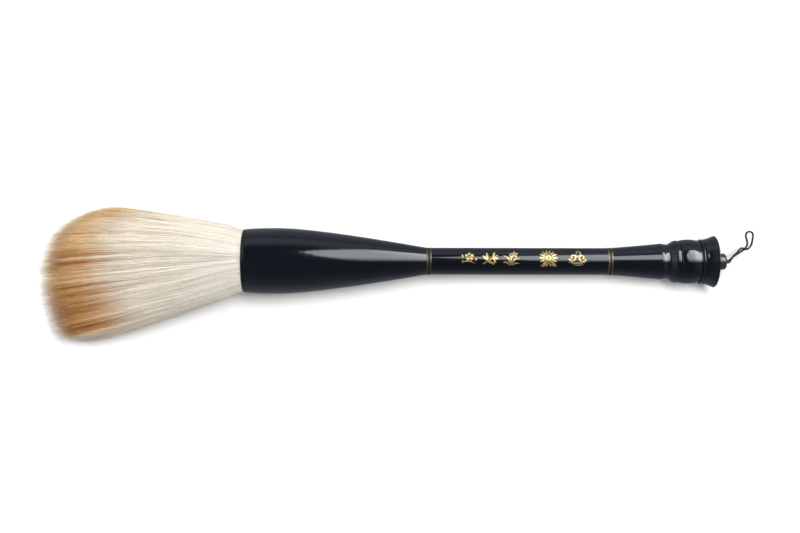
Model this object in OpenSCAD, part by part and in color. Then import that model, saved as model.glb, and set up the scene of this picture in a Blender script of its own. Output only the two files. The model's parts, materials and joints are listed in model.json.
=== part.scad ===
// Large calligraphy brush lying on a table: a hair tuft glued into a turned, lacquered bowl,
// then a stem, a turned tail, an end knob and a small hanging loop of cord.
// The origin is on the table under the widest section of the bowl. +X runs towards the tail.
// Turned pieces are drawn along the brush's own axis, with 0 at the bowl's mouth,
// and on_table() lays that axis down so that the bowl and the bell cap both touch the table.

/* [Bowl] */
// Radius of the bowl at its widest section
bowl_r = 17; // [16.6:0.1:18]
// Distance from the mouth to the widest section
bowl_wide_at = 17.7; // [14:0.1:22]
// Length of the bowl from its mouth to the front rings
bowl_len = 94.7; // [90:0.1:105]
// Radius of the bowl at its mouth
mouth_r = 16.3; // [15.8:0.1:16.5]
// Length of the thin ring round the mouth
mouth_ring_len = 1.5; // [1.2:0.1:2.5]
// Radius of the socket that holds the hair
socket_r = 14.6; // [13.5:0.1:14.8]
// Depth of the socket
socket_depth = 36; // [30:1:45]

/* [Stem] */
// Radius of the stem
stem_r = 6.95; // [6.5:0.05:7.5]
// Length of the stem between its ring sets
stem_len = 91.3; // [70:0.1:140]
// Thickness of one wire ring
wire_w = 0.5; // [0.4:0.1:0.8]
// How far a wire ring stands out of the stem
wire_proud = 0.2; // [0.1:0.05:0.3]
// Length of the dark spacer between two wire rings
spacer_len = 1.4; // [1:0.1:3]
// Radius of the dowels that join the turned pieces
dowel_r = 4; // [3:0.1:4.5]
// Depth of a dowel in each piece
dowel_depth = 20; // [15:1:24]

/* [Tail] */
// Length of the tail cone up to its neck
cone_len = 25.6; // [25:0.1:32]
// Radius of the tail cone where it meets the neck
cone_end_r = 9.3; // [9:0.1:9.8]
// Length of the hollow neck and the shoulder behind it
neck_len = 9.2; // [8:0.1:12]
// Smallest radius of the neck
neck_r = 8.9; // [8.5:0.1:9]
// Radius of the shoulder behind the neck
shoulder_r = 10.9; // [10.5:0.1:11]
// Length of the bead
bead_len = 10.3; // [9:0.1:12]
// Largest radius of the bead
bead_r = 11.5; // [11.2:0.1:12]
// Length of the collar between bead and bell cap
collar_len = 2.1; // [2:0.1:3]
// Radius of the collar's rounded ring
collar_r = 11.6; // [11.2:0.1:12]
// Length of the bell cap
cap_len = 6.6; // [6:0.1:9]
// Radius of the bell cap's rim
cap_r = 13.4; // [12.8:0.1:14]

/* [Knob and loop] */
// Radius of the end knob
knob_r = 4.2; // [3.5:0.1:4.5]
// Length of the knob's head
knob_len = 6.1; // [4:0.1:6.5]
// Radius of the knob's shank in the bell cap
shank_r = 3; // [2.8:0.1:3.2]
// Radius of the cord hole in the knob
cord_hole_r = 0.95; // [0.9:0.05:1.1]
// Diameter of the hanging cord
cord_d = 0.9; // [0.6:0.1:0.9]

/* [Tuft] */
// Distance from the mouth, inside the bowl, to the point where the tuft bends
bend_at = 2; // [1:0.5:4]
// Radius of the round seat between the fixed root and the moving hair
seat_r = 20; // [19.5:0.1:21]
// Clearance of that seat
seat_gap = 0.4; // [0.3:0.05:0.6]
// Share of the tuft's width that the core hair takes
core_share = 0.6; // [0.5:0.01:0.65]

/* [Hidden] */

ROUND = 96;        // segments of a turned piece
CURVE = 24;        // steps along a turned curve
TUFT_SIDES = 32;
CORD_SIDES = 8;

// stations along the brush's own axis, from the mouth
ring_set = 2 * wire_w + spacer_len;
stem_start = bowl_len + ring_set;
stem_end = stem_start + stem_len;
cone_start = stem_end + ring_set;
cone_end = cone_start + cone_len;
neck_end = cone_end + neck_len;
bead_end = neck_end + bead_len;
collar_end = bead_end + collar_len;
cap_end = collar_end + cap_len;
knob_end = cap_end + knob_len;

// the brush leans by this angle, from its widest section to the rim of its cap
tilt = atan((bowl_r - cap_r) / (cap_end - bowl_wide_at));
bend_x = (bend_at - bowl_wide_at) * cos(tilt);
bend_z = bowl_r * cos(tilt) - (bend_at - bowl_wide_at) * sin(tilt);

pin_r = 3;
pin_start = neck_end - 12;
pin_end = cap_end - 4.4;
knot_at = knob_end - 3.6;
knot_room_r = 1.9;
ROUND_EDGE = 0.8;

// ---------- curves ----------
function mix(a, b, t) = a + (b - a) * t;
function bezier(a, b, c, d, n) = [for (i = [0:n]) let (t = i / n)
    pow(1 - t, 3) * a + 3 * t * pow(1 - t, 2) * b + 3 * t * t * (1 - t) * c + pow(t, 3) * d];
function arc(centre, r, from, to, n) = [for (i = [0:n]) let (a = mix(from, to, i / n))
    centre + r * [cos(a), sin(a)]];
// a smooth value between stations: p and q are the two ends, with their neighbours o and s
function smooth(o, p, q, s, t) = 0.5 * (2 * p + (q - o) * t + (2 * o - 5 * p + 4 * q - s) * t * t
    + (3 * p - o - 3 * q + s) * t * t * t);

// ---------- placing ----------
module on_table() {
    translate([0, 0, bowl_r * cos(tilt)]) rotate([0, tilt, 0]) translate([-bowl_wide_at, 0, 0]) children();
}

// turns an outline of [station, radius] points about the brush's axis
module turned(outline) {
    on_table() rotate([0, 90, 0]) rotate_extrude($fn = ROUND) polygon([for (p = outline) [p[1], p[0]]]);
}

module rod(r, from, to) {
    turned([[from, 0], [from, r], [to, r], [to, 0]]);
}

module washer(r, hole, from, to) {
    turned([[from, hole], [from, r], [to, r], [to, hole]]);
}

// ---------- bowl ----------
module mouth_ring() {
    edge = mouth_ring_len - 0.2;
    color([0.07, 0.08, 0.10]) turned(concat([[edge, socket_r]],
        [[0.5, socket_r], [0, socket_r + 0.5]],
        arc([ROUND_EDGE, mouth_r - ROUND_EDGE], ROUND_EDGE, 180, 90, 6),
        [[edge, mouth_r + 0.05]]));
}

module bowl() {
    start = mouth_ring_len;
    color([0.07, 0.08, 0.10]) turned(concat(
        [[start - 0.2, socket_r], [start - 0.2, mouth_r - 0.3], [start, mouth_r + 0.1]],
        bezier([start + 3, mouth_r + 0.35], [start + 6, mouth_r + 0.6],
            [bowl_wide_at - 5, bowl_r], [bowl_wide_at, bowl_r], 8),
        bezier([bowl_wide_at + 0.5, bowl_r], [bowl_wide_at + 20, bowl_r],
            [bowl_len - 12, stem_r + 2.1], [bowl_len, stem_r + 0.05], CURVE),
        [[bowl_len, dowel_r], [bowl_len - dowel_depth, dowel_r], [bowl_len - dowel_depth, 0]],
        [[socket_depth, 0], [socket_depth, socket_r]]));
}

module rosin_plug() {
    color([0.45, 0.22, 0.07]) rod(socket_r - 0.1, socket_depth - 2, socket_depth);
}

module binding_thread() {
    turns = 5;
    thread_r = 0.45;
    color([0.9, 0.88, 0.8]) for (i = [0:turns - 1])
        turned(arc([socket_depth - 12 + i * 2 * thread_r, socket_r - 1.05], thread_r, 0, 345, 23));
}

// the packed butt of the hair, with a round front on which the moving hair turns
module hair_root() {
    waist = socket_r - 1.5;
    dome_r = seat_r - seat_gap;
    edge_r = mouth_r - 0.2;
    edge_angle = asin(edge_r / dome_r);
    color([0.95, 0.93, 0.86]) turned(concat(
        [[socket_depth - 2, 0], [socket_depth - 2, waist], [socket_depth - 13, waist]],
        [[socket_depth - 15, socket_r - 0.1], [0, socket_r - 0.1]],
        arc([bend_at, 0], dome_r, 180 - edge_angle, 180, 16)));
}

// ---------- stem ----------
module wire_ring(at) {
    color([0.80, 0.68, 0.42]) washer(stem_r + wire_proud, dowel_r, at, at + wire_w);
}

module spacer(at) {
    color([0.10, 0.09, 0.08]) washer(stem_r, dowel_r, at, at + spacer_len);
}

module dowel(between, and) {
    color([0.72, 0.55, 0.35]) rod(dowel_r, between - dowel_depth, and + dowel_depth);
}

module front_wire_outer() { wire_ring(bowl_len); }
module front_spacer() { spacer(bowl_len + wire_w); }
module front_wire_inner() { wire_ring(stem_start - wire_w); }
module front_tenon() { dowel(bowl_len, stem_start); }

module stem() {
    color([0.08, 0.09, 0.12]) turned([[stem_start, dowel_r], [stem_start, stem_r],
        [stem_end, stem_r], [stem_end, dowel_r], [stem_end - dowel_depth, dowel_r],
        [stem_end - dowel_depth, 0], [stem_start + dowel_depth, 0], [stem_start + dowel_depth, dowel_r]]);
}

module rear_wire_inner() { wire_ring(stem_end); }
module rear_spacer() { spacer(stem_end + wire_w); }
module rear_wire_outer() { wire_ring(cone_start - wire_w); }
module rear_tenon() { dowel(stem_end, cone_start); }

// ---------- tail ----------
module tail_cone() {
    low = cone_end + 2.9;
    color([0.07, 0.08, 0.10]) turned(concat(
        [[cone_start, dowel_r]],
        bezier([cone_start, stem_r + 0.1], [cone_start + 9, stem_r + 0.8],
            [cone_end - 9, cone_end_r - 0.9], [cone_end - 0.5, cone_end_r], 10),
        bezier([cone_end + 0.2, cone_end_r], [cone_end + 1, cone_end_r - 0.1],
            [low - 1.2, neck_r], [low, neck_r], 6),
        bezier([low + 0.4, neck_r], [low + 2, neck_r + 0.1],
            [low + 3, shoulder_r - 0.1], [low + 4.6, shoulder_r], 8),
        [[neck_end - 0.4, shoulder_r], [neck_end, shoulder_r - 0.4]],
        [[neck_end, pin_r], [pin_start, pin_r], [pin_start, 0]],
        [[cone_start + dowel_depth, 0], [cone_start + dowel_depth, dowel_r]]));
}

module tail_bead() {
    mid = neck_end + bead_len / 2;
    color([0.07, 0.08, 0.10]) turned(concat(
        [[neck_end, pin_r], [neck_end, shoulder_r - 0.3], [neck_end + 0.4, shoulder_r]],
        bezier([neck_end + 0.8, shoulder_r + 0.1], [neck_end + 2.5, bead_r],
            [mid - 1, bead_r], [mid, bead_r], 8),
        bezier([mid + 0.5, bead_r], [mid + 2, bead_r],
            [bead_end - 1.8, shoulder_r + 0.3], [bead_end - 0.2, shoulder_r], 8),
        [[bead_end, shoulder_r - 0.3], [bead_end, pin_r]]));
}

module tail_collar() {
    hub_r = bead_r - 1.3;
    ring_half = 0.75;
    ring_at = collar_end - 0.05 - ring_half;
    color([0.07, 0.08, 0.10]) turned(concat(
        [[bead_end, pin_r], [bead_end, hub_r], [ring_at - ring_half, hub_r]],
        arc([ring_at, collar_r - ring_half], ring_half, 180, 0, 10),
        [[collar_end, hub_r], [collar_end, pin_r]]));
}

module bell_cap() {
    color([0.07, 0.08, 0.10]) turned(concat(
        [[collar_end, pin_r], [collar_end, collar_r - 0.4], [collar_end + 0.3, collar_r - 0.1]],
        bezier([collar_end + 0.8, collar_r], [collar_end + 2.5, collar_r + 0.2],
            [cap_end - 2, cap_r - 0.6], [cap_end - 0.3, cap_r], 8),
        [[cap_end, cap_r - 0.2], [cap_end, shank_r]]));
}

module tail_pin() {
    color([0.72, 0.55, 0.35]) rod(pin_r, pin_start, pin_end);
}

// ---------- knob and loop ----------
module end_knob() {
    room_end = knob_end - 2;
    color([0.16, 0.16, 0.17]) turned(concat(
        [[pin_end, knot_room_r], [pin_end, shank_r], [cap_end, shank_r], [cap_end, knob_r - 0.3]],
        [[cap_end + 0.3, knob_r]],
        arc([knob_end - 1.4, knob_r - 1.4], 1.4, 90, 0, 8),
        [[knob_end, cord_hole_r], [room_end, cord_hole_r], [room_end, knot_room_r]]));
}

// the stopper knot and the two ends that run from it through the knob's hole
module cord_knot() {
    knot_r = 1.5;
    side = cord_d / 2 + 0.02;
    color([0.16, 0.12, 0.09]) on_table() {
        translate([knot_at, 0, 0]) sphere(r = knot_r, $fn = 32);
        for (y = [-side, side])
            translate([knot_at, y, 0]) rotate([0, 90, 0])
                cylinder(r = cord_d / 2, h = knob_end - knot_at, $fn = 24);
    }
}

// the loop's centreline in the row's frame: out of the knob, down to the table, round and back
LOOP_ROUTE = [[233, 0.46, 13.3], [234, 0.5, 13.2], [235, 0.8, 13], [236, 1.5, 12.6],
    [237.3, 2.6, 11.6], [238.9, 3.7, 10.1], [240.4, 4.7, 8.3], [242, 6, 6.3], [243.8, 7.1, 4.4],
    [245.4, 7.2, 2.9], [246.9, 6.8, 1.9], [248.2, 6.9, 1.2], [249.4, 7.8, 0.7], [250.4, 9.4, 0.5],
    [250.8, 11.2, 0.5], [251.1, 12.9, 0.5], [251.2, 14.4, 0.5], [250.8, 15.4, 0.5], [250, 16, 0.5],
    [249, 16.1, 0.5], [248.1, 15.7, 0.5], [247.5, 14.8, 0.5], [247.4, 13.4, 0.5],
    [247.9, 11.7, 0.5], [248.2, 10, 0.5], [247.9, 8.4, 0.5], [246.8, 7.1, 0.5], [245.3, 5.9, 1.3],
    [243.6, 5.1, 2.9], [241.9, 4.3, 4.9], [240.1, 3.6, 7], [238.3, 2.6, 9], [236.8, 1.4, 10.7],
    [235.9, 0.4, 11.9], [235, -0.3, 12.8], [234, -0.5, 13.2], [233, -0.46, 13.3]];

function unit(v) = v / norm(v);
function along(path, i) = unit(path[min(i + 1, len(path) - 1)] - path[max(i - 1, 0)]);
function ring_of(path, i, r) = let (t = along(path, i), a = unit(cross(t, [0, 0, 1])), b = cross(a, t))
    [for (k = [0:CORD_SIDES - 1]) let (turn = k * 360 / CORD_SIDES)
        path[i] + r * (cos(turn) * a + sin(turn) * b)];

// faces that join rings of points in order; a closed set joins its last ring to its first
function bands(rings, sides, closed) = [for (i = [0:(closed ? rings - 1 : rings - 2)], k = [0:sides - 1])
    let (a = i * sides, b = ((i + 1) % rings) * sides, n = (k + 1) % sides)
    each [[a + k, b + k, b + n], [a + k, b + n, a + n]]];
function ends(rings, sides) = [[for (k = [0:sides - 1]) k],
    [for (k = [0:sides - 1]) rings * sides - 1 - k]];

module hanging_loop() {
    count = len(LOOP_ROUTE);
    color([0.16, 0.12, 0.09]) polyhedron(
        [for (i = [0:count - 1]) each ring_of(LOOP_ROUTE, i, cord_d / 2)],
        concat(bands(count, CORD_SIDES, false), ends(count, CORD_SIDES)));
}

// ---------- tuft ----------
// sections across the hair, from the seat to the tips: [x, right edge y, left edge y, top z, underside z]
SECTIONS = [[-27, -17.8, 18.4, 33.8, 0.9], [-40, -22, 20.8, 34.8, 0.1], [-52, -26, 22.8, 35, 0],
    [-64, -29.5, 24.6, 34.2, 0], [-77, -34, 26, 32, 0], [-90, -38, 26.6, 29, 0], [-101, -41.5, 24.5, 25, 0],
    [-109, -43, 20.5, 21, 0], [-114.5, -41, 15.5, 17, 0], [-118.5, -31, 8, 12, 0], [-121.5, -15, 0, 6, 0]];
STEPS = 2;         // rings between two sections
RINGS = (len(SECTIONS) - 1) * STEPS + 1;

function section(i) = let (last = len(SECTIONS) - 1, k = min(floor(i / STEPS), last - 1), t = i / STEPS - k)
    smooth(SECTIONS[max(k - 1, 0)], SECTIONS[k], SECTIONS[k + 1], SECTIONS[min(k + 2, last)], t);
function swell(v, power) = sign(v) * pow(abs(v), power);

// x of the round seat behind a point of the first section, easing to the flat second section
function seat_x(i, y, z) = mix(bend_x - sqrt(seat_r * seat_r - y * y - pow(z - bend_z, 2)),
    SECTIONS[1][0], i / STEPS);

// one ring of the tuft, shrunk to a share of its size; the first ring lies on the round seat
function tuft_ring(i, share) = let (s = section(i), square = mix(1, 0.75, min(i / 4, 1)),
    mid_y = (s[1] + s[2]) / 2, half_y = (s[2] - s[1]) / 2,
    mid_z = mix(s[4], s[3], mix(0.5, 0.42, min(i / 4, 1))))
    [for (k = [0:TUFT_SIDES - 1]) let (a = k * 360 / TUFT_SIDES,
        y = mid_y + share * half_y * swell(cos(a), square),
        rise = sin(a) > 0 ? s[3] - mid_z : mid_z - s[4],
        z = mid_z + share * rise * swell(sin(a), square))
        [i < STEPS ? seat_x(i, y, z) : s[0], y, z]];

module tuft_core() {
    shares = [0.1, 0.4, 0.7];
    rings = len(shares) + RINGS;
    color([0.78, 0.60, 0.38]) polyhedron(
        concat([for (f = shares) each tuft_ring(0, f * core_share)],
            [for (i = [0:RINGS - 1]) each tuft_ring(i, core_share)]),
        concat(bands(rings, TUFT_SIDES, false), ends(rings, TUFT_SIDES)));
}

module tuft_cover() {
    inner = core_share + 0.02;
    shares = [inner + 0.13, inner + 0.26];
    rings = len(shares) + 2 * RINGS;
    color([0.93, 0.88, 0.78]) polyhedron(
        concat([for (f = shares) each tuft_ring(0, f)],
            [for (i = [0:RINGS - 1]) each tuft_ring(i, 1)],
            [for (i = [RINGS - 1:-1:0]) each tuft_ring(i, inner)]),
        bands(rings, TUFT_SIDES, true));
}

tuft_cover();
tuft_core();
hair_root();
binding_thread();
rosin_plug();
mouth_ring();
bowl();
front_tenon();
front_wire_outer();
front_spacer();
front_wire_inner();
stem();
rear_tenon();
rear_wire_inner();
rear_spacer();
rear_wire_outer();
tail_cone();
tail_bead();
tail_collar();
bell_cap();
tail_pin();
end_knob();
cord_knot();
hanging_loop();
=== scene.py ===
import json
import math

import bpy
import numpy as np
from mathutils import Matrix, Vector

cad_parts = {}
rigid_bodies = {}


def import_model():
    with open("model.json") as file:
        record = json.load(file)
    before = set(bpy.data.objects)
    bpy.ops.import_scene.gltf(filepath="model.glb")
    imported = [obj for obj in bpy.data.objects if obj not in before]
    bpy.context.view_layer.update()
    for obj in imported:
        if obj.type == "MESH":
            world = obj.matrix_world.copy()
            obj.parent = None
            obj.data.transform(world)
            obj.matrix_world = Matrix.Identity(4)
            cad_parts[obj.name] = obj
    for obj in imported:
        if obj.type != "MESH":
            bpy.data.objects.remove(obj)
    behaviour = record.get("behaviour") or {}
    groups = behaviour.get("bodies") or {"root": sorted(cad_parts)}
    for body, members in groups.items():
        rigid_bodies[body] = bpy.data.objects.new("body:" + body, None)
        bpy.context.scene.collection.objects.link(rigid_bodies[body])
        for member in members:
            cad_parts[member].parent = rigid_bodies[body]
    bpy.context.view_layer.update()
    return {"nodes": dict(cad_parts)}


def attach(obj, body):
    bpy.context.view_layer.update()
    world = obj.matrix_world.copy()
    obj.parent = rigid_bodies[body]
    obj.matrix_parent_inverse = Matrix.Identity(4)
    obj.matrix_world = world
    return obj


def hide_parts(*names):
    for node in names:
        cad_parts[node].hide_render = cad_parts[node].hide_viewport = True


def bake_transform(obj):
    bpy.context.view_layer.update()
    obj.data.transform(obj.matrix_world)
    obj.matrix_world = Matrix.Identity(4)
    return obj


for leftover in list(bpy.data.objects):
    bpy.data.objects.remove(leftover)
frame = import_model()

MM = 0.001    # outlines, strokes, the cord and the hair are drawn in millimetres
TAU = 2 * math.pi
TABLE_Z = 0.0
chance = np.random.default_rng(7)


# ---------- the brush's own axis, read from the straight stem ----------
def vertices(node):
    return np.array([v.co for v in frame["nodes"][node].data.vertices], float)


def stem_axis():
    """A point on the axis and its direction towards the tail."""
    points = vertices("stem")
    middle = (points.min(0) + points.max(0)) / 2
    direction = np.linalg.svd(points - points.mean(0), full_matrices=False)[2][0]
    return middle, direction * np.sign(direction[0])


STEM_MIDDLE, AXIS = stem_axis()
SIDE = np.array([0.0, 1.0, 0.0])
UP = np.cross(AXIS, SIDE)


def station(point):
    """How far a point lies along the axis, and how far from it."""
    away = np.asarray(point, float) - STEM_MIDDLE
    along = away @ AXIS
    return along, np.linalg.norm(away - np.multiply.outer(along, AXIS), axis=-1)


def on_axis(along):
    return STEM_MIDDLE + along * AXIS


STEM_R = station(vertices("stem"))[1].max()


# ---------- small node helpers ----------
def new_material(name):
    """A material, its node tree and its Principled shader."""
    made = bpy.data.materials.new(name)
    made.use_nodes = True
    return made, made.node_tree, made.node_tree.nodes["Principled BSDF"]


def node(tree, kind, inputs=None, **settings):
    """Adds a node. inputs maps a socket's name or number to a value or to another node's output."""
    made = tree.nodes.new(kind)
    for key, value in settings.items():
        setattr(made, key, value)
    for key, value in (inputs or {}).items():
        if isinstance(value, bpy.types.NodeSocket):
            tree.links.new(value, made.inputs[key])
        else:
            made.inputs[key].default_value = value
    return made


def ramp(tree, factor, stops):
    """A colour ramp; stops are (position, (r, g, b)) in linear colour."""
    made = node(tree, "ShaderNodeValToRGB", {"Fac": factor})
    elements = made.color_ramp.elements
    for extra in stops[2:]:
        elements.new(extra[0])
    for element, (place, colour) in zip(elements, stops):
        element.position = place
        element.color = (*colour, 1)
    return made.outputs["Color"]


def noise(tree, scale, vector=None, detail=4.0, stretch=(1, 1, 1)):
    """Noise in the brush's frame, stretched along its axes."""
    place = vector or node(tree, "ShaderNodeTexCoord").outputs["Object"]
    mapped = node(tree, "ShaderNodeMapping", {"Vector": place, "Scale": stretch})
    return node(tree, "ShaderNodeTexNoise",
                {"Vector": mapped.outputs["Vector"], "Scale": scale, "Detail": detail}).outputs["Fac"]


def spread_to(tree, value, low, high, out_low, out_high):
    return node(tree, "ShaderNodeMapRange", {"Value": value, "From Min": low, "From Max": high,
                                             "To Min": out_low, "To Max": out_high}).outputs["Result"]


def mix(tree, factor, a, b, mode="MIX"):
    made = node(tree, "ShaderNodeMix", data_type="RGBA", blend_type=mode)
    for socket, value in (("Factor", factor), ("A", a), ("B", b)):
        target = next(s for s in made.inputs if s.name == socket and s.enabled)
        if isinstance(value, bpy.types.NodeSocket):
            tree.links.new(value, target)
        elif socket == "Factor":
            target.default_value = value
        else:
            target.default_value = (*value, 1)
    return next(s for s in made.outputs if s.enabled)


def bump(tree, shader, height, distance, strength=1.0):
    made = node(tree, "ShaderNodeBump", {"Height": height, "Distance": distance, "Strength": strength})
    tree.links.new(made.outputs["Normal"], shader.inputs["Normal"])


# ---------- materials ----------
def lacquer_material():
    """Black lacquer with a blue cast: faint turning lines, dust and a little wear, under a coat."""
    made, tree, shader = new_material("black_lacquer")
    depth = noise(tree, 60, stretch=(0.3, 1, 1))
    lines = noise(tree, 900, stretch=(2, 0.02, 0.02), detail=2)
    colour = ramp(tree, depth, [(0.3, (0.0024, 0.0032, 0.0058)), (0.7, (0.0045, 0.0060, 0.0100))])
    specks = ramp(tree, noise(tree, 2600, detail=1), [(0.72, (0, 0, 0)), (0.78, (1, 1, 1))])
    colour = mix(tree, specks, colour, (0.022, 0.023, 0.025))
    tree.links.new(colour, shader.inputs["Base Color"])
    rough = spread_to(tree, noise(tree, 140), 0.3, 0.7, 0.09, 0.13)
    tree.links.new(rough, shader.inputs["Roughness"])
    shader.inputs["Specular IOR Level"].default_value = 0.5
    shader.inputs["Coat Weight"].default_value = 0.35
    shader.inputs["Coat Roughness"].default_value = 0.05
    bump(tree, shader, lines, 0.00001)
    return made


def gilt_material():
    """Gilt metal, rubbed and a little uneven."""
    made, tree, shader = new_material("gilt")
    colour = ramp(tree, noise(tree, 700), [(0.3, (0.42, 0.28, 0.10)), (0.75, (0.74, 0.56, 0.28))])
    tree.links.new(colour, shader.inputs["Base Color"])
    tree.links.new(spread_to(tree, noise(tree, 1500), 0.3, 0.7, 0.25, 0.5), shader.inputs["Roughness"])
    shader.inputs["Metallic"].default_value = 0.85
    bump(tree, shader, noise(tree, 2500), 0.00002)
    return made


def wire_material():
    """Fine brass wire, tarnished unevenly."""
    made, tree, shader = new_material("wire")
    tarnish = noise(tree, 900, stretch=(1, 3, 3))
    colour = ramp(tree, tarnish, [(0.3, (0.17, 0.14, 0.08)), (0.7, (0.38, 0.32, 0.20))])
    tree.links.new(colour, shader.inputs["Base Color"])
    tree.links.new(spread_to(tree, noise(tree, 1200), 0.3, 0.7, 0.3, 0.45), shader.inputs["Roughness"])
    shader.inputs["Metallic"].default_value = 1.0
    return made


def horn_material():
    """Polished dark horn, with cloudy paler streaks along it."""
    made, tree, shader = new_material("dark_horn")
    streaks = noise(tree, 260, stretch=(0.25, 1, 1))
    colour = ramp(tree, streaks, [(0.35, (0.010, 0.010, 0.011)), (0.75, (0.05, 0.048, 0.046))])
    tree.links.new(colour, shader.inputs["Base Color"])
    tree.links.new(spread_to(tree, noise(tree, 900), 0.3, 0.7, 0.12, 0.24), shader.inputs["Roughness"])
    shader.inputs["Coat Weight"].default_value = 0.3
    bump(tree, shader, noise(tree, 1800), 0.00001)
    return made


def wood_material(name, dark, light):
    """Plain wood with grain along the axis."""
    made, tree, shader = new_material(name)
    grain = noise(tree, 350, stretch=(0.05, 1, 1), detail=6)
    tree.links.new(ramp(tree, grain, [(0.3, dark), (0.7, light)]), shader.inputs["Base Color"])
    tree.links.new(spread_to(tree, grain, 0.3, 0.7, 0.45, 0.65), shader.inputs["Roughness"])
    bump(tree, shader, grain, 0.00005)
    return made


def cord_material():
    """Dark waxed thread with fine fibres along the twist."""
    made, tree, shader = new_material("waxed_cord")
    fibres = noise(tree, 4000, detail=3)
    colour = ramp(tree, fibres, [(0.3, (0.006, 0.004, 0.003)), (0.75, (0.030, 0.020, 0.014))])
    tree.links.new(colour, shader.inputs["Base Color"])
    shader.inputs["Roughness"].default_value = 0.6
    shader.inputs["Specular IOR Level"].default_value = 0.25
    bump(tree, shader, fibres, 0.00003)
    return made


# ---------- turned pieces ----------
SAME_RING = 0.02 * MM          # vertices this close along the axis and out from it are one outline point
CORNER = math.radians(14)      # an outline that turns by more than this has a hard corner
FLAT_RUN = 5 * MM              # longer edges of an outline stay straight


def outline(name):
    """A turned CAD node's own outline as [along, radius] points in order, and whether it is closed."""
    mesh = frame["nodes"][name].data
    along, radius = station(vertices(name))
    members, cells, of_vertex = [], {}, []
    around = [(i, j) for i in (0, -1, 1) for j in (0, -1, 1)]
    for s, r in zip(np.round(along / SAME_RING).astype(int), np.round(radius / SAME_RING).astype(int)):
        cell = next(((s + i, r + j) for i, j in around if (s + i, r + j) in cells), None)
        if cell is None:
            cell = (s, r)
            cells[cell] = len(members)
            members.append([])
        members[cells[cell]].append(len(of_vertex))
        of_vertex.append(cells[cell])
    places = [np.array([along[k].mean(), radius[k].mean()]) for k in members]
    joined = {i: set() for i in range(len(places))}
    for edge in mesh.edges:
        a, b = (of_vertex[v] for v in edge.vertices)
        if a != b:
            joined[a].add(b)
            joined[b].add(a)
    ends = [i for i in joined if len(joined[i]) == 1]
    first = ends[0] if ends else 0
    order = [first]
    while True:
        ahead = [j for j in joined[order[-1]] if j not in order]
        if not ahead:
            break
        order.append(ahead[0])
    return np.array([places[i] for i in order]), not ends


def softened(points, closed, bevel, pieces=3):
    """The outline with each edge of a round stretch in pieces and each hard corner given a small bevel."""
    count = len(points)
    before, after = np.roll(points, 1, 0), np.roll(points, -1, 0)
    if not closed:
        before[0], after[-1] = points[0], points[-1]
    into, out = points - before, after - points
    lengths = np.linalg.norm(out, axis=1)
    turn = np.abs(np.arctan2(into[:, 0] * out[:, 1] - into[:, 1] * out[:, 0], (into * out).sum(1)))
    hard = (turn > CORNER) | ((not closed) & np.isin(np.arange(count), (0, count - 1)))
    tangent = (after - before) / np.maximum(np.linalg.norm(after - before, axis=1), 1e-9)[:, None]
    made = []
    for k in range(count):
        here, after_k = points[k], (k + 1) % count
        inner = 0 < k < count - 1 or closed
        if hard[k] and inner:
            cut = min(bevel, 0.35 * np.linalg.norm(into[k]), 0.35 * lengths[k])
            a = here - cut * into[k] / np.linalg.norm(into[k])
            b = here + cut * out[k] / lengths[k]
            made += [a, 0.25 * a + 0.5 * here + 0.25 * b, b]
        else:
            made.append(here)
        if lengths[k] < 1e-9 or (hard[k] and hard[after_k]) or lengths[k] > FLAT_RUN:
            continue
        direction = out[k] / lengths[k]
        start = (direction if hard[k] else tangent[k]) * lengths[k]
        end = (direction if hard[after_k] else tangent[after_k]) * lengths[k]
        low = made[-1] if hard[k] else here
        for t in np.arange(1, pieces) / pieces:
            curve = ((2 * t**3 - 3 * t**2 + 1) * here + (t**3 - 2 * t**2 + t) * start
                     + (3 * t**2 - 2 * t**3) * points[after_k] + (t**3 - t**2) * end)
            room = 1.2 * bevel if hard[k] or hard[after_k] else 0
            if np.linalg.norm(curve - low) > room and np.linalg.norm(curve - points[after_k]) > room:
                made.append(curve)
    return np.array(made)


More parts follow.
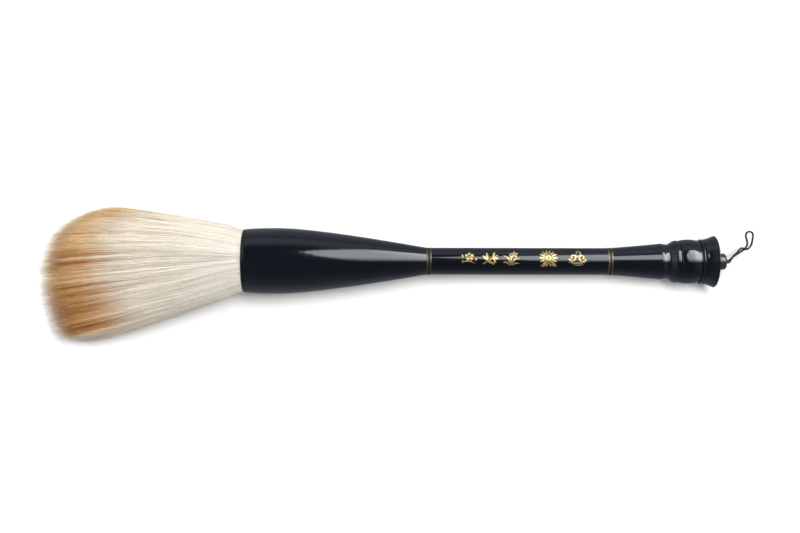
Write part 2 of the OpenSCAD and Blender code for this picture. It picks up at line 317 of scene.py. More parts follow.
def turned(name, slot, bevel=0.12, sides=144):
    """A finely turned piece that stands for a CAD node: the same outline, and that slot's finish."""
    points, closed = outline(name)
    widest = points[:, 1].argmax()
    if points[(widest + 1) % len(points)][0] < points[widest - 1][0]:
        points = points[::-1]
    if not closed:
        points = np.vstack([[points[0][0], 0], points, [points[-1][0], 0]])
    points = softened(points, closed, bevel * MM)
    if closed:
        points = np.vstack([points, points[:1]])
    step = np.diff(points, axis=0)
    length = np.concatenate([[0], np.cumsum(np.linalg.norm(step, axis=1))])
    facing = np.stack([-step[:, 1], step[:, 0]], 1)
    normal = np.zeros_like(points)
    normal[:-1] += facing
    normal[1:] += facing
    if closed:
        normal[0] = normal[-1] = facing[0] + facing[-1]
        points, normal = points[:-1], normal[:-1]
    normal /= np.maximum(np.linalg.norm(normal, axis=1), 1e-12)[:, None]
    angle = np.arange(sides) * TAU / sides
    round_ = np.cos(angle)[:, None] * SIDE + np.sin(angle)[:, None] * UP
    places, normals, rings = [], [], []
    for (s, r), (ns, nr) in zip(points, normal):
        alone = r < 1e-6
        ring = np.zeros((1, 3)) if alone else round_
        rings.append((len(places), alone))
        places += list(on_axis(s) + r * ring)
        normals += list(ns * AXIS + nr * ring)
    faces, coordinates = [], []
    for k in range(len(rings) - (not closed)):
        (a, a_alone), (b, b_alone) = rings[k], rings[(k + 1) % len(rings)]
        low, high = length[k] / length[-1], length[k + 1] / length[-1]
        for j in range(sides):
            n, u, v = (j + 1) % sides, j / sides, (j + 1) / sides
            corners = []
            corners += [(a, (u + v) / 2, low)] if a_alone else [(a + j, u, low), (a + n, v, low)]
            corners += [(b, (u + v) / 2, high)] if b_alone else [(b + n, v, high), (b + j, u, high)]
            faces.append([c[0] for c in corners])
            coordinates += [c[1:] for c in corners]
    piece = mesh_piece(name + "_turned", places, faces, FINISH[slot], coordinates)
    piece.data.normals_split_custom_set_from_vertices(normals)
    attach(piece, "handle")
    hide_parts(name)


def mesh_piece(name, places, faces, material, coordinates=None, smooth=True):
    """A mesh object in the brush's frame, with its bake map."""
    mesh = bpy.data.meshes.new(name)
    mesh.from_pydata([tuple(p) for p in places], [], faces)
    if smooth:
        mesh.polygons.foreach_set("use_smooth", [True] * len(mesh.polygons))
    if coordinates is not None:
        bake_map = mesh.uv_layers.new(name="OFBake")
        bake_map.data.foreach_set("uv", np.array(coordinates, np.float32).ravel())
    mesh.materials.append(material)
    mesh.update()
    piece = bpy.data.objects.new(name, mesh)
    bpy.context.scene.collection.objects.link(piece)
    return piece


# ---------- gilt ornament on the stem ----------
# strokes are drawn flat: x along the stem, y across it, and half the stroke's width, in millimetres
ORNAMENT_TURN = math.radians(75)   # where an ornament's middle line lies, from the side towards the top


def rounded(points, parts=4):
    """A smooth line through the points."""
    points = np.asarray(points, float)
    padded = np.vstack([2 * points[0] - points[1], points, 2 * points[-1] - points[-2]])
    t = (np.arange(parts) / parts)[:, None]
    line = []
    for o, p, q, s in zip(padded, padded[1:], padded[2:], padded[3:]):
        line.append(0.5 * (2 * p + (q - o) * t + (2 * o - 5 * p + 4 * q - s) * t**2
                           + (3 * p - o - 3 * q + s) * t**3))
    return np.vstack([*line, points[-1:]])


def petal(x, y, angle, length, width, inner=0.0):
    """A leaf or petal that starts at inner from (x, y) and points along angle, in degrees."""
    turn = math.radians(angle)
    out = np.array([math.cos(turn), math.sin(turn)])
    shape = [(0.0, 0.12), (0.3, 0.8), (0.62, 1.0), (0.88, 0.6), (1.0, 0.1)]
    return rounded([[*(np.array([x, y]) + (inner + share * length) * out), wide * width / 2]
                    for share, wide in shape])


def blossom(x, y, size, petals=5, turn=90):
    long = 0.75 * size
    ring = [petal(x, y, turn + 360 * i / petals, long, long, 0.28 * size) for i in range(petals)]
    return ring + [rounded([[x - 0.12 * size, y, 0.12 * size], [x + 0.12 * size, y, 0.12 * size]])]


def plum_sprig():
    twig = rounded([[-3.6, -2.6, 0.15], [-1.8, -1.6, 0.3], [0.6, -1.7, 0.25], [3.4, -2.9, 0.08]])
    buds = [petal(-3.0, 0.4, 110, 1.6, 1.1), petal(3.1, -1.2, 40, 1.5, 1.0),
            petal(-2.6, -2.3, 130, 1.5, 0.5)]
    return [twig, *blossom(0.4, 0.9, 2.3), *buds]


def bamboo_sprig():
    stalk = [rounded([[2.5 * i - 3.4, 1.5 * i - 2.9, 0.28], [2.5 * i - 1.3, 1.5 * i - 1.7, 0.28]])
             for i in range(3)]
    leaves = [petal(-1.2, -1.5, a, long, 1.25) for a, long in ((95, 4.3), (130, 3.6), (-25, 3.7))]
    leaves += [petal(1.3, 0.1, a, long, 1.15) for a, long in ((72, 3.3), (-12, 3.0), (-60, 3.0))]
    return stalk + leaves


def orchid_sprig():
    blades = [((-0.6, -3.2), (-1.6, 0.2), (-4.2, 1.8)), ((-0.2, -3.3), (-0.2, 0.4), (-1.4, 3.4)),
              ((0.2, -3.3), (1.5, -0.4), (4.2, 0.2)), ((0.5, -3.2), (2.2, -2.2), (4.0, -2.6)),
              ((-0.8, -3.2), (-2.6, -1.8), (-4.2, -1.9))]
    leaves = [rounded([[*a, 0.18], [*b, 0.42], [*c, 0.04]]) for a, b, c in blades]
    return leaves + [petal(1.4, 2.2, a, 1.9, 1.0, 0.15) for a in (20, 90, 160, 230, 310)]


def chrysanthemum():
    outer = [petal(0, 0.2, 360 * i / 14, 2.7, 0.95, 1.4) for i in range(14)]
    inner = [petal(0, 0.2, 360 * (i + 0.5) / 9, 1.1, 0.75, 0.35) for i in range(9)]
    return outer + inner + [petal(-3.4, -3.6, 25, 2.6, 1.5), petal(3.6, -3.6, 155, 2.6, 1.5)]


def cloud_scroll():
    strokes = []
    for x, y, size, way in ((-2.3, -0.4, 1.9, 1), (2.1, -0.6, 2.0, -1), (0.1, 1.7, 1.9, 1)):
        spiral = [[x + way * size * r * math.cos(a), y + size * r * math.sin(a), 0.16 + 0.24 * r]
                  for r, a in ((1 - 0.085 * i, 3.6 + 0.75 * i) for i in range(11))]
        strokes.append(rounded(spiral))
    tails = [[[-4.3, -2.6, 0.05], [-1.6, -3.1, 0.4], [1.6, -3.0, 0.4], [4.4, -2.4, 0.05]],
             [[-2.6, -3.9, 0.05], [0.2, -4.1, 0.3], [3.2, -3.8, 0.05]]]
    return strokes + [rounded(line) for line in tails]


def ornament(name, strokes, middle, size, material):
    """Lays flat strokes on the stem, as thin raised gilding centred at that station."""
    height, depth = 0.05 * MM, 0.04 * MM
    everything = np.vstack(strokes)
    spread = everything[:, :2].max(0) - everything[:, :2].min(0)
    centre = (everything[:, :2].max(0) + everything[:, :2].min(0)) / 2
    scale = np.min(np.array(size) / spread)
    places, faces = [], []
    for line in strokes:
        middle_line = (line[:, :2] - centre) * scale
        ahead = np.gradient(middle_line, axis=0)
        ahead /= np.maximum(np.linalg.norm(ahead, axis=1), 1e-9)[:, None]
        across = np.stack([-ahead[:, 1], ahead[:, 0]], 1) * (line[:, 2:] * scale)
        base = len(places)
        for point, side in zip(middle_line, across):
            for share, lift in ((1, -depth), (0.82, height), (-0.82, height), (-1, -depth)):
                x, y = (point + share * side) * MM
                turn = ORNAMENT_TURN - y / STEM_R
                out = math.cos(turn) * SIDE + math.sin(turn) * UP
                places.append(on_axis(middle + x) + (STEM_R + lift) * out)
        count = len(middle_line)
        for k in range(count - 1):
            a, b = base + 4 * k, base + 4 * (k + 1)
            faces += [[a + i, a + (i + 1) % 4, b + (i + 1) % 4, b + i] for i in range(4)]
        faces += [[base + i for i in (3, 2, 1, 0)], [base + 4 * (count - 1) + i for i in range(4)]]
    piece = mesh_piece(name, places, faces, material, smooth=False)
    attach(piece, "handle")
    return piece


# ---------- hanging cord ----------
# the loop's centreline in millimetres, as in the CAD: out of the knob, down to the table and back
LOOP_ROUTE = [(233, 0.46, 13.3), (234, 0.5, 13.2), (235, 0.8, 13), (236, 1.5, 12.6),
              (237.3, 2.6, 11.6), (238.9, 3.7, 10.1), (240.4, 4.7, 8.3), (242, 6, 6.3),
              (243.8, 7.1, 4.4), (245.4, 7.2, 2.9), (246.9, 6.8, 1.9), (248.2, 6.9, 1.2),
              (249.4, 7.8, 0.7), (250.4, 9.4, 0.5), (250.8, 11.2, 0.5), (251.1, 12.9, 0.5),
              (251.2, 14.4, 0.5), (250.8, 15.4, 0.5), (250, 16, 0.5), (249, 16.1, 0.5),
              (248.1, 15.7, 0.5), (247.5, 14.8, 0.5), (247.4, 13.4, 0.5), (247.9, 11.7, 0.5),
              (248.2, 10, 0.5), (247.9, 8.4, 0.5), (246.8, 7.1, 0.5), (245.3, 5.9, 1.3),
              (243.6, 5.1, 2.9), (241.9, 4.3, 4.9), (240.1, 3.6, 7), (238.3, 2.6, 9),
              (236.8, 1.4, 10.7), (235.9, 0.4, 11.9), (235, -0.3, 12.8), (234, -0.5, 13.2),
              (233, -0.46, 13.3)]
CORD_D = 0.9 * MM


def hanging_loop():
    """The thin cord, with three twisted plies as real relief."""
    plies, twist, sides = 3, 2.4 * MM, 18
    line = rounded(np.array(LOOP_ROUTE) * MM, parts=10)
    ahead = np.gradient(line, axis=0)
    ahead /= np.linalg.norm(ahead, axis=1)[:, None]
    travelled = np.concatenate([[0], np.cumsum(np.linalg.norm(np.diff(line, axis=0), axis=1))])
    across = np.array([0.0, 1.0, 0.0])
    places, faces, coordinates = [], [], []
    for point, forward, far in zip(line, ahead, travelled):
        across = across - (across @ forward) * forward
        across /= np.linalg.norm(across)
        over = np.cross(forward, across)
        for j in range(sides):
            turn = TAU * j / sides
            ply = abs(math.cos(plies / 2 * (turn - TAU * far / twist)))
            radius = CORD_D / 2 * (0.86 + 0.18 * ply**0.7)
            places.append(point + radius * (math.cos(turn) * across + math.sin(turn) * over))
    for k in range(len(line) - 1):
        for j in range(sides):
            n, u, v = (j + 1) % sides, j / sides, (j + 1) / sides
            faces.append([k * sides + j, k * sides + n, (k + 1) * sides + n, (k + 1) * sides + j])
            low, high = travelled[k] / travelled[-1], travelled[k + 1] / travelled[-1]
            coordinates += [(u, low), (v, low), (v, high), (u, high)]
    faces += [list(range(sides))[::-1], [(len(line) - 1) * sides + j for j in range(sides)]]
    coordinates += [(0.5, 0.0)] * sides + [(0.5, 1.0)] * sides
    piece = mesh_piece("cord_loop", places, faces, cord_material(), coordinates)
    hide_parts("hanging_loop")
    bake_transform(piece)


# ---------- hair ----------
ROOT_X = -12        # where the hairs start, inside the bowl, in millimetres
# the fan of hair in the brush's frame, in millimetres: [x, right side y, left side y, top z, underside z]
FAN = np.array([
    [-12, -14.0, 14.0, 31.2, 3.2], [-17, -14.3, 14.3, 31.6, 2.9], [-19, -16.0, 16.3, 33.2, 1.4],
    [-22, -17.4, 17.7, 34.0, 0.6], [-28, -19.4, 19.2, 34.4, 0.2], [-40, -23.6, 21.2, 35.0, 0.1],
    [-52, -27.8, 23.4, 35.0, 0.1], [-64, -31.5, 25.0, 34.2, 0.1], [-77, -35.7, 26.6, 32.2, 0.1],
    [-90, -39.4, 27.8, 29.0, 0.1], [-104, -43.0, 28.6, 24.5, 0.1], [-124, -48.5, 29.2, 17.0, 0.1]])
# where the hair ends, across the fan: [share of the half width, x]
TIP_EDGE = np.array([
    [-1.02, -97], [-0.95, -104.5], [-0.89, -109.3], [-0.79, -112.6], [-0.585, -115.9], [-0.43, -118],
    [-0.13, -120.8], [0.15, -121.4], [0.33, -119.4], [0.5, -116.6], [0.6, -114], [0.7, -110],
    [0.8, -104], [0.91, -96], [1.02, -86]])


def swell(value, power):
    return np.sign(value) * np.abs(value) ** power


def fan_at(x):
    """The fan's rows at x, with the corners between its stations rounded off."""
    reach, past_mouth = 3, -24
    total = 0
    for shift, weight in ((-reach, 0.25), (0, 0.5), (reach, 0.25)):
        shifted = np.where(x < past_mouth, x + shift, x)
        rows = np.stack([np.interp(-shifted, -FAN[:, 0], FAN[:, i]) for i in range(1, 5)])
        total = total + weight * rows
    return total


def in_hair(x, a, b):
    """The point at x of a hair whose place in the bundle is (a, b), inside the unit circle."""
    right, left, top, under = fan_at(x)
    share, turn = np.hypot(a, b), np.arctan2(b, a)
    loose = np.clip((-x - 18) / 30, 0, 1)
    power = 1 - 0.25 * loose
    middle = under + (top - under) * (0.5 - (0.14 + 0.1 * np.clip(-np.cos(turn), 0, 1)) * loose)
    rise = np.where(b > 0, top - middle, middle - under)
    y = (right + left) / 2 + (left - right) / 2 * share * swell(np.cos(turn), power)
    return np.stack([x, y, middle + rise * share * swell(np.sin(turn), power)], -1)


def tip_at(share, turn):
    """Where a hair ends, from its place in the bundle: hairs above and below the middle end sooner."""
    edge = np.interp(share * swell(np.cos(turn), 0.75), TIP_EDGE[:, 0], TIP_EDGE[:, 1])
    return edge + 4 * (share * np.sin(turn)) ** 2


def hair_material():
    """Goat hair: cream at the root, tan towards the tip, coloured by the bake map's own place.
    Across the map runs how tan a lock is together with painted shade for the side away from the lights, and
    up it runs the way from root to tip."""
    made, tree, shader = new_material("goat_hair")
    bake_map = node(tree, "ShaderNodeUVMap", uv_map="OFBake").outputs["UV"]
    place = node(tree, "ShaderNodeSeparateXYZ", {"Vector": bake_map})
    tan_and_shade, along = place.outputs["X"], place.outputs["Y"]
    reach = spread_to(tree, tan_and_shade, 0, 1, 0.76, 0.58)
    past = node(tree, "ShaderNodeMath", {0: along, 1: reach}, operation="SUBTRACT")
    tan = node(tree, "ShaderNodeMapRange",
               {"Value": past.outputs[0], "From Min": -0.05, "From Max": 0.25},
               interpolation_type="SMOOTHSTEP")
    pale = ramp(tree, along, [(0.0, (0.90, 0.86, 0.78)), (0.25, (0.92, 0.87, 0.77)),
                              (0.6, (0.92, 0.84, 0.71)), (1.0, (0.86, 0.76, 0.61))])
    # painted shade: locks far across the map lie mostly on the side away from the lights, so their tan is
    # drawn darker (deep) and their pale part greyer (the multiply below)
    deep = ramp(tree, tan_and_shade, [(0.04, (0.80, 0.74, 0.64)), (0.10, (0.93, 0.70, 0.40)),
                             (0.5, (0.80, 0.46, 0.17)), (1.0, (0.46, 0.20, 0.06))])
    pale = mix(tree, tan_and_shade, pale, (0.87, 0.87, 0.88), mode="MULTIPLY")
    colour = mix(tree, tan.outputs["Result"], pale, deep)
    tip = spread_to(tree, along, 0.955, 0.995, 0.0, 0.6)
    colour = mix(tree, tip, colour, (0.92, 0.88, 0.80))
    joined = node(tree, "ShaderNodeCombineXYZ", {0: tan_and_shade, 1: along}).outputs[0]
    streak = node(tree, "ShaderNodeTexNoise", {"Vector": joined, "Scale": 60.0, "Detail": 2.0})
    streak = ramp(tree, streak.outputs["Fac"], [(0.35, (0.74, 0.71, 0.68)), (0.6, (1, 1, 1))])
    colour = mix(tree, 0.55, colour, streak, mode="MULTIPLY")
    tree.links.new(colour, shader.inputs["Base Color"])
    shader.inputs["Roughness"].default_value = 0.42
    shader.inputs["Specular IOR Level"].default_value = 0.35
    return made


def lock_turns(count):
    """Lock centres round the bundle, each nudged a little, closer together where the fan is wide."""
    turn = np.linspace(0, TAU, 721)
    density = np.hypot(1.7 * np.sin(turn), np.cos(turn))
    spread = np.concatenate([[0], np.cumsum((density[1:] + density[:-1]) / 2)])
    place = (np.arange(count) + chance.uniform(-0.4, 0.4, count)) / count
    return np.interp(place % 1, spread / spread[-1], turn)


def strands(name, count, locks, locks_tan_and_shade, least, most, width, start=ROOT_X, wander=1.0, points=13,
            extra=0.0):
    """A set of separate tapering hairs, gathered into locks. least and most are their places between
    the bundle's middle (0) and its outside (1), and start and width are in millimetres."""
    even = lock_turns(4 * count)
    turn = even[chance.permutation(4 * count)[:count]]
    share = np.sqrt(chance.uniform(least**2, most**2, count))
    away = (turn[:, None] - locks + math.pi) % TAU - math.pi
    nearest = np.abs(away).argmin(1)
    shift = -away[np.arange(count), nearest]
    pull = chance.uniform(0.1, 0.75, len(locks))[nearest]
    drift = chance.normal(0, 1, (2, len(locks)))[:, nearest] * wander
    longer = chance.normal(0, 0.012, len(locks))[nearest] + chance.normal(extra - 0.006, 0.014, count)
    longer += np.where(chance.random(count) < 0.3, chance.uniform(0, 0.045, count), 0)
    tan_and_shade = locks_tan_and_shade[nearest]
    tan_and_shade = np.where(tan_and_shade < 0.05, tan_and_shade, np.clip(tan_and_shade + chance.normal(0, 0.16, count), 0.1, 0.99))
    t = np.linspace(0, 1, points)[:, None]
    gathered = np.clip((t - 0.15) / 0.85, 0, 1) ** 1.3
    turns = turn + shift * pull * gathered + 0.014 * drift[0] * t**1.5
    shares = share + 0.018 * drift[1] * t**1.5
    along_a, along_b = shares * np.cos(turns), shares * np.sin(turns)
    end = tip_at(shares[-1], turns[-1])
    level = (np.linspace(start, end, points) - ROOT_X) / (end - ROOT_X)
    x = start + (end * (1 + longer) - start) * t
    line = in_hair(x, along_a, along_b)
    phase, waves = chance.uniform(0, TAU, (2, count)), chance.uniform(0.5, 1.6, (2, count))
    swing = 0.30 * wander * t**1.3
    line[..., 1] += swing * np.sin(phase[0] + TAU * waves[0] * t)
    line[..., 2] += swing * np.sin(phase[1] + TAU * waves[1] * t)
    line[..., 2] = np.maximum(line[..., 2], 0.15)
    line *= MM
    ahead = np.gradient(line, axis=0)
    ahead /= np.linalg.norm(ahead, axis=-1, keepdims=True)
    across = np.cross(ahead, np.array([0.0, 0.0, 1.0]))
    across /= np.linalg.norm(across, axis=-1, keepdims=True)
    over = np.cross(across, ahead)
    taper = 1 - 0.85 * np.clip((t - 0.55) / 0.45, 0, 1) ** 1.4
    half = width / 2 * MM * taper * chance.uniform(0.8, 1.2, count)
    turned_by = chance.uniform(0, TAU, count)[None, :, None]
    corners = [line + half[..., None] * (np.cos(turned_by + TAU * i / 3) * across
                                         + np.sin(turned_by + TAU * i / 3) * over) for i in range(3)]
    places = np.stack(corners, 2).transpose(1, 0, 2, 3).reshape(-1, 3)
    k, i = np.meshgrid(np.arange(points - 1), np.arange(3), indexing="ij")
    n = (i + 1) % 3
    one = np.stack([3 * k + i, 3 * k + n, 3 * (k + 1) + n, 3 * (k + 1) + i], -1).reshape(-1, 4)
    own = 3 * points * np.arange(count)[:, None, None]
    levels = np.repeat(np.clip(level.T, 0.01, 0.99), 3, axis=1)
    ends = np.array([[0, 2, 1], [3 * (points - 1) + i for i in range(3)]])
    coordinates = [np.stack([np.repeat(tan_and_shade, part.size), levels[:, part.ravel()].ravel()], 1)
                   for part in (one, ends)]
    return hair_piece(name, places, (one[None] + own).reshape(-1, 4), (ends[None] + own).reshape(-1, 3),
                      np.vstack(coordinates))


def hair_piece(name, places, quads, caps, coordinates):
    """Makes a large mesh of quads and triangles quickly."""
    mesh = bpy.data.meshes.new(name)
    mesh.vertices.add(len(places))
    mesh.vertices.foreach_set("co", places.astype(np.float32).ravel())
    mesh.loops.add(4 * len(quads) + 3 * len(caps))
    corners = np.concatenate([quads.ravel(), caps.ravel()])
    mesh.loops.foreach_set("vertex_index", corners.astype(np.int32))
    mesh.polygons.add(len(quads) + len(caps))
    starts = np.concatenate([4 * np.arange(len(quads)), 4 * len(quads) + 3 * np.arange(len(caps))])
    mesh.polygons.foreach_set("loop_start", starts.astype(np.int32))
    mesh.polygons.foreach_set("use_smooth", np.ones(len(starts), bool))
    mesh.uv_layers.new(name="OFBake").data.foreach_set("uv", coordinates.astype(np.float32).ravel())
    mesh.update(calc_edges=True)
    mesh.validate()
    mesh.materials.append(HAIR)
    piece = bpy.data.objects.new(name, mesh)
    bpy.context.scene.collection.objects.link(piece)
    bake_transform(piece)
    return piece


def hair_body(name, locks, locks_tan_and_shade, share, reach):
    """A closed inner body of packed hair, ridged along its length."""
    sides, rings = 360, 40
    turn = np.arange(sides) * TAU / sides
    ridge = chance.normal(0, 1, sides)
    ridge = 0.6 * ridge + 0.3 * np.roll(ridge, 1) + 0.3 * np.roll(ridge, -1)
    places, level = [], []
    for k in range(rings):
        t = k / (rings - 1)
        rough = 1 + 0.012 * ridge * min(1, 3 * t)
        close = max(0.02, math.sqrt(max(0.0, 1 - max(0.0, (t - 0.9) / 0.1) ** 2)))
        a, b = share * rough * np.cos(turn), share * rough * np.sin(turn)
        end = tip_at(share * rough, turn) * reach
        x = ROOT_X + (end - ROOT_X) * t
        places.append(in_hair(x, a * close, b * close))
        level.append(0.01 + 0.98 * t * reach)
    places = np.concatenate(places) * MM
    k, j = np.meshgrid(np.arange(rings - 1), np.arange(sides), indexing="ij")
    n = (j + 1) % sides
    quads = np.stack([k * sides + j, k * sides + n, (k + 1) * sides + n, (k + 1) * sides + j], -1)
    nearest = np.abs((turn[:, None] - locks + math.pi) % TAU - math.pi).argmin(1)
    tan_and_shade = np.clip(locks_tan_and_shade[nearest] + 0.08 * ridge, 0.01, 0.99)
    corner_tan_and_shade = np.stack([tan_and_shade[j], tan_and_shade[n], tan_and_shade[n], tan_and_shade[j]], -1).reshape(-1)
    levels = np.array(level)
    corner_level = np.stack([levels[k], levels[k], levels[k + 1], levels[k + 1]], -1).reshape(-1)
    middle = [places[:sides].mean(0), places[-sides:].mean(0)]
    places = np.vstack([places, middle])
    last = (rings - 1) * sides
    ring = np.arange(sides)
    beyond = np.roll(ring, -1)
    caps = np.vstack([np.stack([beyond, ring, np.full(sides, len(places) - 2)], 1),
                      np.stack([last + ring, last + beyond, np.full(sides, len(places) - 1)], 1)])
    cap_uv = np.stack([np.full(6 * sides, 0.4), np.repeat([level[0], level[-1]], 3 * sides)], 1)
    coordinates = np.vstack([np.stack([corner_tan_and_shade, corner_level], 1), cap_uv])
    return hair_piece(name, places, quads.reshape(-1, 4), caps, coordinates)


# ---------- stage ----------
FLOOR_REACH = 4.0      # metres from the brush to the floor's edge
WINDOW_Z = 0.9
# the window's outline in its plane above the floor, in metres
WINDOW = [(0.14, 0.56), (0.20, 0.30), (0.26, 0.13), (0.35, -0.12), (1.25, -0.12), (1.25, 1.60),
          (0.55, 1.60), (0.31, 0.95), (0.21, 0.74)]


def stage():
    """Pale floor and even light, with a darker room and a large slanted window for the lacquer to show."""
    pale_floor()
    room()
    window()
    for light in (soft_light("key", (0.26, 0.16, 0.90), (0.05, 0.0, 0.0), 0.46, 0.16, 31.5),
                  soft_light("side", (-0.75, 0.14, 0.58), (-0.1, 0.0, 0.0), 0.6, 0.6, 4.4),
                  soft_light("fill", (-0.05, 0.90, 0.50), (0.0, 0.0, 0.0), 0.8, 0.6, 0.6)):
        light.visible_glossy = False


def pale_floor():
    """A plain floor that looks darker in the lacquer than it is."""
    corners = [(-FLOOR_REACH, -FLOOR_REACH), (FLOOR_REACH, -FLOOR_REACH),
               (FLOOR_REACH, FLOOR_REACH), (-FLOOR_REACH, FLOOR_REACH)]
    floor = flat_piece("floor", corners, TABLE_Z)
    made, tree, shader = new_material("pale_floor")
    mirrored = node(tree, "ShaderNodeLightPath").outputs["Is Glossy Ray"]
    colour = mix(tree, mirrored, (0.93, 0.93, 0.93), (0.19, 0.21, 0.24))
    tree.links.new(colour, shader.inputs["Base Color"])
    shader.inputs["Roughness"].default_value = 0.9
    shader.inputs["Specular IOR Level"].default_value = 0.1
    floor.data.materials.append(made)


def room():
    """Even light from all round; the lacquer shows a dim room that is brighter behind and at both ends."""
    world = bpy.data.worlds.new("studio")
    bpy.context.scene.world = world
    world.use_nodes = True
    tree = world.node_tree
    lit = tree.nodes["Background"]
    lit.inputs["Color"].default_value = (1, 1, 1, 1)
    lit.inputs["Strength"].default_value = 0.31
    seen = node(tree, "ShaderNodeBackground")
    outward = node(tree, "ShaderNodeTexCoord").outputs["Generated"]
    direction = node(tree, "ShaderNodeSeparateXYZ", {"Vector": outward})
    dim = spread_to(tree, direction.outputs["Z"], 0.0, 0.8, 0.24, 0.06)
    wall = ramp(tree, direction.outputs["Z"], [(0.0, (0.35, 0.35, 0.35)), (0.18, (1, 1, 1)),
                                               (0.42, (1, 1, 1)), (0.62, (0, 0, 0))])
    behind = spread_to(tree, direction.outputs["Y"], 0.15, 0.55, 0.0, 0.42)
    ends = node(tree, "ShaderNodeMath", {0: direction.outputs["X"]}, operation="ABSOLUTE").outputs[0]
    ends = spread_to(tree, ends, 0.3, 0.95, 0.0, 1.6)
    for axis, low, high, least in (("Y", -0.12, 0.12, 0.3), ("Z", 0.35, 0.65, 0.08)):
        share = spread_to(tree, direction.outputs[axis], low, high, least, 1.0)
        ends = node(tree, "ShaderNodeMath", {0: ends, 1: share}, operation="MULTIPLY").outputs[0]
    total = node(tree, "ShaderNodeMath", {0: wall, 1: behind, 2: dim}, operation="MULTIPLY_ADD")
    total = node(tree, "ShaderNodeMath", {0: total.outputs[0], 1: ends}, operation="ADD").outputs[0]
    tree.links.new(total, seen.inputs["Strength"])
    seen.inputs["Color"].default_value = (0.78, 0.90, 1.0, 1)
    mirrored = node(tree, "ShaderNodeLightPath").outputs["Is Glossy Ray"]
    chosen = node(tree, "ShaderNodeMixShader", {0: mirrored})
    tree.links.new(lit.outputs[0], chosen.inputs[1])
    tree.links.new(seen.outputs[0], chosen.inputs[2])
    tree.links.new(chosen.outputs[0], tree.nodes["World Output"].inputs["Surface"])


def window():
    """The window that only the lacquer shows, fading towards the viewer and brighter towards the tail."""
    pane = flat_piece("window", WINDOW, WINDOW_Z)
    glow = bpy.data.materials.new("window_glow")
    glow.use_nodes = True
    tree = glow.node_tree
    tree.nodes.clear()
    spot = node(tree, "ShaderNodeTexCoord").outputs["Object"]
    place = node(tree, "ShaderNodeSeparateXYZ", {"Vector": spot})
    fade = node(tree, "ShaderNodeMapRange",
                {"Value": place.outputs["Y"], "From Min": -0.12, "From Max": 0.35},
                interpolation_type="SMOOTHSTEP").outputs["Result"]
    power = spread_to(tree, place.outputs["X"], 0.42, 0.8, 5.0, 10.5)
    strength = node(tree, "ShaderNodeMath", {0: fade, 1: power}, operation="MULTIPLY").outputs[0]
    light = node(tree, "ShaderNodeEmission", {"Color": (0.95, 0.98, 1.0, 1), "Strength": strength})
    tree.links.new(light.outputs[0], node(tree, "ShaderNodeOutputMaterial").inputs["Surface"])
    pane.data.materials.append(glow)
    pane.visible_diffuse = pane.visible_shadow = False


def flat_piece(name, corners, height):
    """A flat piece of the stage at that height."""
    mesh = bpy.data.meshes.new(name)
    mesh.from_pydata([(x, y, height) for x, y in corners], [], [range(len(corners))])
    piece = bpy.data.objects.new(name, mesh)
    bpy.context.scene.collection.objects.link(piece)
    return piece


def soft_light(name, place, target, wide, high, radiance):
    """A flat light of that size, in metres, and radiance that faces a target."""
    light = bpy.data.lights.new(name, "AREA")
    light.shape = "RECTANGLE"
    light.size, light.size_y = wide, high
    light.energy = radiance * math.pi * wide * high
    holder = bpy.data.objects.new(name, light)
    holder.location = place
    holder.rotation_euler = (Vector(target) - Vector(place)).to_track_quat("-Z", "Y").to_euler()
    bpy.context.scene.collection.objects.link(holder)
    return holder


def camera():
    """Straight above the brush, turned by a trace so that the tail sits a little lower in the picture."""
    eye = bpy.data.objects.new("camera", bpy.data.cameras.new("camera"))
    eye.data.sensor_width, eye.data.lens = 36, 52.65
    eye.location = (63.4 * MM, -2.8 * MM, 623 * MM)
    eye.rotation_euler = (0, 0, math.radians(0.1))
    eye.data.clip_start, eye.data.clip_end = 0.01, 50
    bpy.context.scene.collection.objects.link(eye)
    bpy.context.scene.camera = eye


# ---------- the brush ----------
camera()
hanging_loop()
FINISH = {"lacquer": lacquer_material(), "gilt_metal": wire_material(), "dark_horn": horn_material(),
          "dark_spacer": wood_material("dark_spacer", (0.004, 0.004, 0.004), (0.012, 0.010, 0.008))}
GILT, HAIR = gilt_material(), hair_material()
turned("mouth_ring", "lacquer", bevel=0.25)
for part in ("bowl", "stem", "tail_cone", "tail_bead", "tail_collar", "bell_cap"):
    turned(part, "lacquer")
for part in ("front_wire_outer", "front_wire_inner", "rear_wire_inner", "rear_wire_outer"):
    turned(part, "gilt_metal")
for part in ("front_spacer", "rear_spacer"):
    turned(part, "dark_spacer")
turned("end_knob", "dark_horn")

STEM_START = station(vertices("stem"))[0].min()
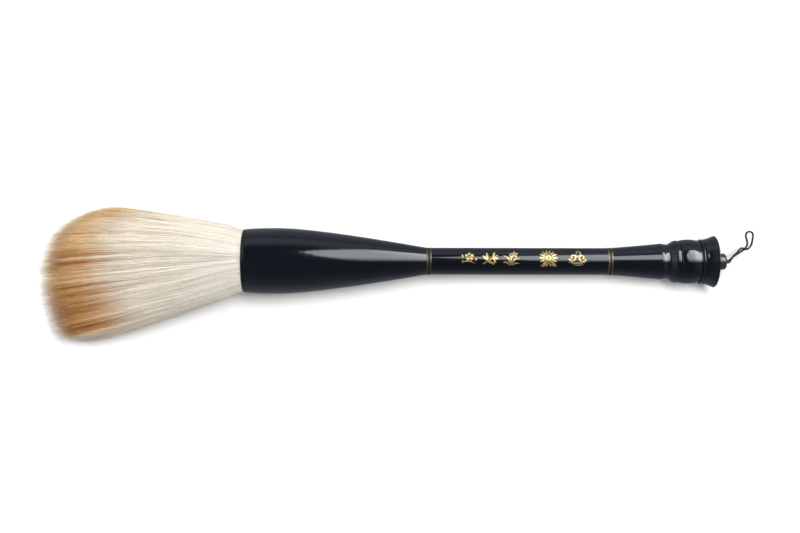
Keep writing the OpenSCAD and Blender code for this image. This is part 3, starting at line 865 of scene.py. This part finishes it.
# each ornament's middle, from the stem's start, and the room it fills along and across the stem
ORNAMENTS = [("plum", plum_sprig, 19.6, (7.8, 6.8)), ("bamboo", bamboo_sprig, 30.6, (8.3, 7.3)),
             ("orchid", orchid_sprig, 41.2, (8.8, 7.8)),
             ("chrysanthemum", chrysanthemum, 60.3, (11.6, 9.4)), ("cloud", cloud_scroll, 75.4, (9.8, 9.4))]
for label, drawing, place, size in ORNAMENTS:
    ornament("gilt_" + label, drawing(), STEM_START + place * MM, size, GILT)

DOWEL = wood_material("dowel_wood", (0.30, 0.18, 0.09), (0.48, 0.32, 0.18))
ROSIN = wood_material("rosin", (0.16, 0.06, 0.015), (0.30, 0.13, 0.04))
THREAD = wood_material("binding_thread", (0.55, 0.52, 0.42), (0.80, 0.77, 0.68))
KNOT = cord_material()
for part, material in (("front_tenon", DOWEL), ("rear_tenon", DOWEL), ("tail_pin", DOWEL),
                       ("rosin_plug", ROSIN), ("binding_thread", THREAD), ("cord_knot", KNOT)):
    frame["nodes"][part].data.materials.clear()
    frame["nodes"][part].data.materials.append(material)

LOCKS = lock_turns(130)
# how tan each lock's tip is, with painted shade: nearly white at the right edge, then deepest, then paler
# to the left. The tan is the hair's own; that it is deeper and darker towards the right (-y) side, away
# from the lights, is painted shade
LOCK_TAN_AND_SHADE = np.interp(np.cos(LOCKS), [-0.93, -0.85, -0.78, -0.5, -0.15, 0.05, 0.5, 1],
                   [-0.4, 0.2, 0.72, 0.58, 0.46, 0.3, 0.1, 0.02])
VARIED = np.clip(LOCK_TAN_AND_SHADE + 0.75 * chance.beta(1.1, 2.0, len(LOCKS)) - 0.08, 0.1, 1)
LOCK_TAN_AND_SHADE = np.where(LOCK_TAN_AND_SHADE < 0, 0.02, VARIED)
body = hair_body("hair_core", LOCKS, LOCK_TAN_AND_SHADE, 0.885, 0.89)
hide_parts("tuft_core", "hair_root")
covers = [strands("hair_cover_%d" % i, 2500, LOCKS, LOCK_TAN_AND_SHADE, 0.88, 1.0, 0.26) for i in range(4)]
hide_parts("tuft_cover")
strands("hair_inner", 4500, LOCKS, LOCK_TAN_AND_SHADE, 0.12, 0.9, 0.30, start=-80.0, points=8)
strands("hair_wisps", 1300, LOCKS, LOCK_TAN_AND_SHADE, 0.90, 1.01, 0.13, wander=1.6, extra=0.018)
stage()
bpy.context.scene.view_settings.view_transform = "Standard"
